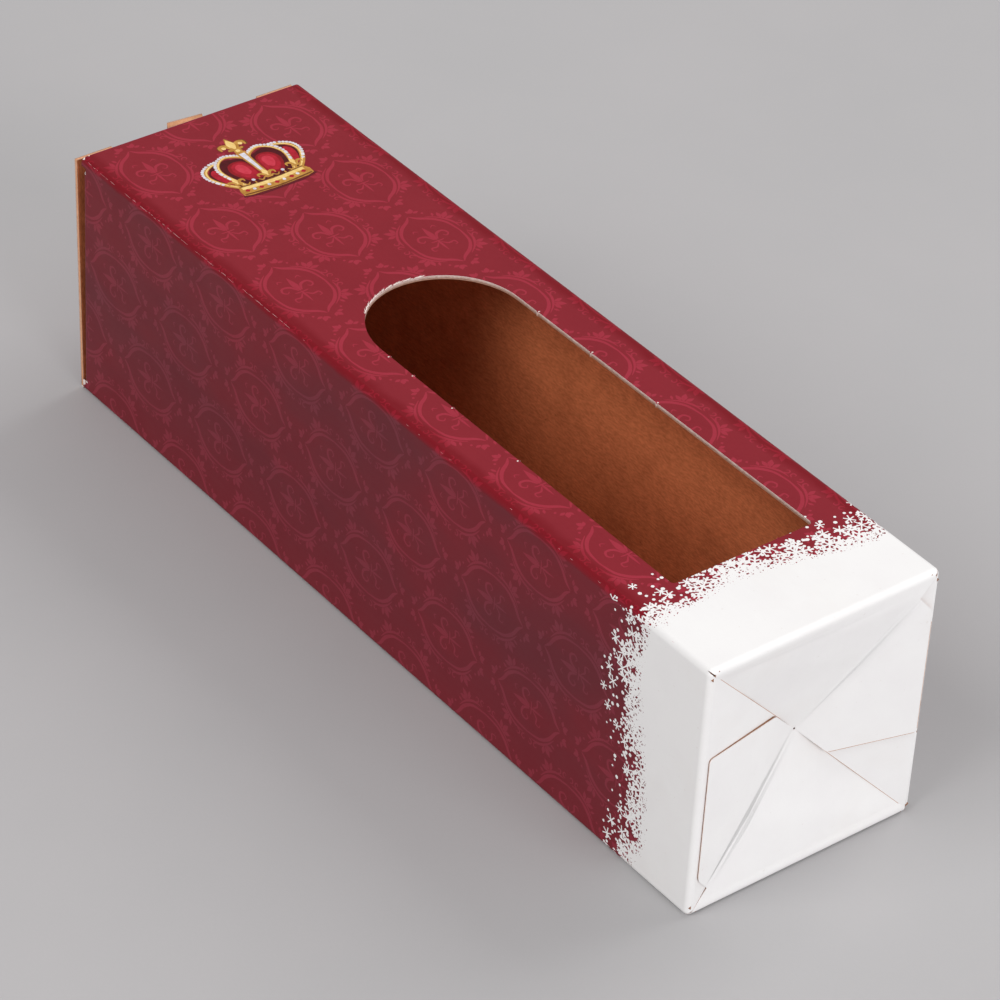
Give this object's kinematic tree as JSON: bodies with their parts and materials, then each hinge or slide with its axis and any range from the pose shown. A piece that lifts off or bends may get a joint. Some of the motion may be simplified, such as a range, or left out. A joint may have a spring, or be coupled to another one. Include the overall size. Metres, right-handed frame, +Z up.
{
  "type": "windowed bottle carton",
  "caption": "Tall square carton of thin corrugated board for a bottle, with an arched window, a crash-lock bottom and a tuck-in lid.",
  "frame": {"origin": "middle of the bounding box in X and Y, on the surface that the back panel lies on", "axes": "+X along the box towards the crash-lock bottom, +Z up through the windowed front panel, -Y towards the left side panel"},
  "size_m": [0.3466, 0.092, 0.097],
  "materials": {
    "printed_board": "satin burgundy print with a tone-on-tone ornament over white coated liner, and bare white at the bottom end",
    "kraft_board": "bare brown kraft liner, matt, with fine fibres",
    "white_board": "white coated liner, satin"
  },
  "bodies": {
    "box": {"carton": "printed_board"},
    "lid": {"lid": "kraft_board"}
  },
  "joints": [
    {"name": "lid_crease", "type": "hinge", "parent": "box", "child": "lid", "pos_m": [-0.16925, 0, 0.00075], "axis": [0, -1, 0], "range_deg": [-2, 88]}
  ]
}
